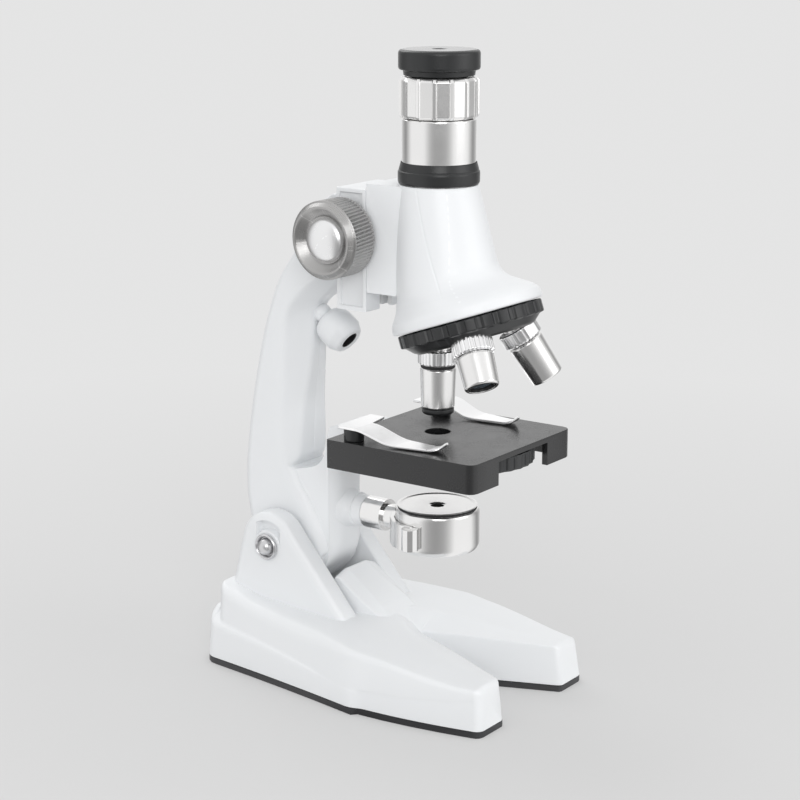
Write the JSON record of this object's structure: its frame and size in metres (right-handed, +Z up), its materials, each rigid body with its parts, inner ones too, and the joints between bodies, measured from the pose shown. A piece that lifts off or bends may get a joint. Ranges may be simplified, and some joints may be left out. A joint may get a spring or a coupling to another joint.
{
  "type": "student microscope",
  "caption": "Small student microscope with a splayed two-toed base, tilting arm, focus knobs, flared head with turning lens turret, clipped stage, swivel lamp and spot lamp.",
  "frame": {"origin": "on the table under the middle of the base", "axes": "+Z up along the tube, -Y towards the toes of the base, +X to the right when the toes point at the viewer's far side; the arm stands at +Y"},
  "size_m": [0.0824, 0.1244, 0.225],
  "materials": {
    "white_plastic": "smooth gloss, faint moulding seams",
    "black_plastic": "satin, fine grain",
    "charcoal_plate": "matte",
    "chrome": "bright plated",
    "turned_steel": "circular brushing",
    "screw_steel": "plain",
    "brass": "plain",
    "cell_jacket": "printed jacket",
    "lens_glass": "polished",
    "mirror": "polished",
    "lamp_dome": "clear dome of a light-emitting diode"
  },
  "bodies": {
    "base": {"base_shell": "white_plastic", "base_plate": "charcoal_plate", "battery_door": "charcoal_plate", "battery_door_screw": "screw_steel", "battery_cell_front": "cell_jacket", "battery_cell_rear": "cell_jacket", "battery_contact_left": "brass", "battery_contact_right": "brass", "base_screw_left": "screw_steel", "base_screw_right": "screw_steel", "pivot_bolt": "turned_steel", "pivot_nut": "turned_steel"},
    "arm": {"arm_left_shell": "white_plastic", "arm_right_shell": "white_plastic", "arm_screw_upper": "screw_steel", "arm_screw_lower": "screw_steel", "focus_block": "white_plastic", "stage_bracket": "white_plastic", "stage_plate": "black_plastic", "aperture_screw": "screw_steel", "clip_post_left": "black_plastic", "clip_post_right": "black_plastic", "lamp_socket": "white_plastic", "spot_knuckle": "white_plastic"},
    "drive": {"focus_shaft": "screw_steel", "focus_pinion": "brass", "focus_knob_left": "turned_steel", "focus_knob_right": "turned_steel", "knob_cap_left": "chrome", "knob_cap_right": "chrome"},
    "head": {"head_carriage": "white_plastic", "focus_rack": "brass", "head_housing": "white_plastic", "nosepiece_plate": "black_plastic", "ocular_collar": "black_plastic"},
    "turret": {"turret_disc": "black_plastic", "turret_screw": "screw_steel", "objective_a_collar": "chrome", "objective_a_barrel": "chrome", "objective_a_lens": "lens_glass", "objective_b_collar": "chrome", "objective_b_barrel": "chrome", "objective_b_lens": "lens_glass", "objective_c_collar": "chrome", "objective_c_barrel": "chrome", "objective_c_lens": "lens_glass"},
    "eyepiece": {"ocular_tube": "chrome", "eyecup": "black_plastic", "eye_lens": "lens_glass"},
    "zoom": {"zoom_ring": "chrome"},
    "aperture": {"aperture_wheel": "black_plastic"},
    "clip_left": {"stage_clip_left": "chrome"},
    "clip_right": {"stage_clip_right": "chrome"},
    "lamp": {"lamp_yoke": "chrome", "lamp_drum": "chrome", "lamp_cover": "chrome", "lamp_mirror": "mirror", "lamp_led": "lamp_dome"},
    "spot": {"spot_head": "white_plastic", "spot_led": "lamp_dome"}
  },
  "joints": [
    {"name": "arm_tilt", "type": "hinge", "parent": "base", "child": "arm", "pos_m": [0, 0.0382, 0.046], "axis": [-1, 0, 0], "range_deg": [0, 45]},
    {"name": "focus_travel", "type": "slide", "parent": "arm", "child": "head", "axis": [0, 0, 1], "range_m": [-0.005, 0.012]},
    {"name": "knob_spin", "type": "hinge", "parent": "arm", "child": "drive", "pos_m": [0, 0.0086, 0.1609], "axis": [-1, 0, 0], "range_deg": [-72, 172]},
    {"name": "turret_spin", "type": "hinge", "parent": "head", "child": "turret", "pos_m": [0, -0.0218, 0.1723], "axis": [0, 0.3256, 0.9455], "continuous": true},
    {"name": "eyepiece_slide", "type": "slide", "parent": "head", "child": "eyepiece", "axis": [0, 0, 1], "range_m": [-0.01, 0.004]},
    {"name": "zoom_turn", "type": "hinge", "parent": "eyepiece", "child": "zoom", "pos_m": [0, -0.0218, 0.209], "axis": [0, 0, 1], "range_deg": [-130, 52]},
    {"name": "aperture_spin", "type": "hinge", "parent": "arm", "child": "aperture", "pos_m": [0, -0.0352, 0.0887], "axis": [0, 0, 1], "continuous": true},
    {"name": "clip_left_swing", "type": "hinge", "parent": "arm", "child": "clip_left", "pos_m": [-0.0264, -0.0052, 0.098], "axis": [0, 0, 1], "range_deg": [-25, 15]},
    {"name": "clip_right_swing", "type": "hinge", "parent": "arm", "child": "clip_right", "pos_m": [0.0264, -0.0052, 0.098], "axis": [0, 0, 1], "range_deg": [-15, 25]},
    {"name": "lamp_swivel", "type": "hinge", "parent": "arm", "child": "lamp", "pos_m": [0, 0.004, 0.0594], "axis": [0, 1, 0], "range_deg": [0, 180]},
    {"name": "spot_tilt", "type": "hinge", "parent": "arm", "child": "spot", "pos_m": [0, 0.0282, 0.1297], "axis": [1, 0, 0], "range_deg": [-12, 3]}
  ],
  "couplings": [
    {"joint": "knob_spin", "follows": "focus_travel", "rad_per_m": 250},
    {"joint": "zoom_turn", "follows": "eyepiece_slide", "rad_per_m": 224.4}
  ]
}
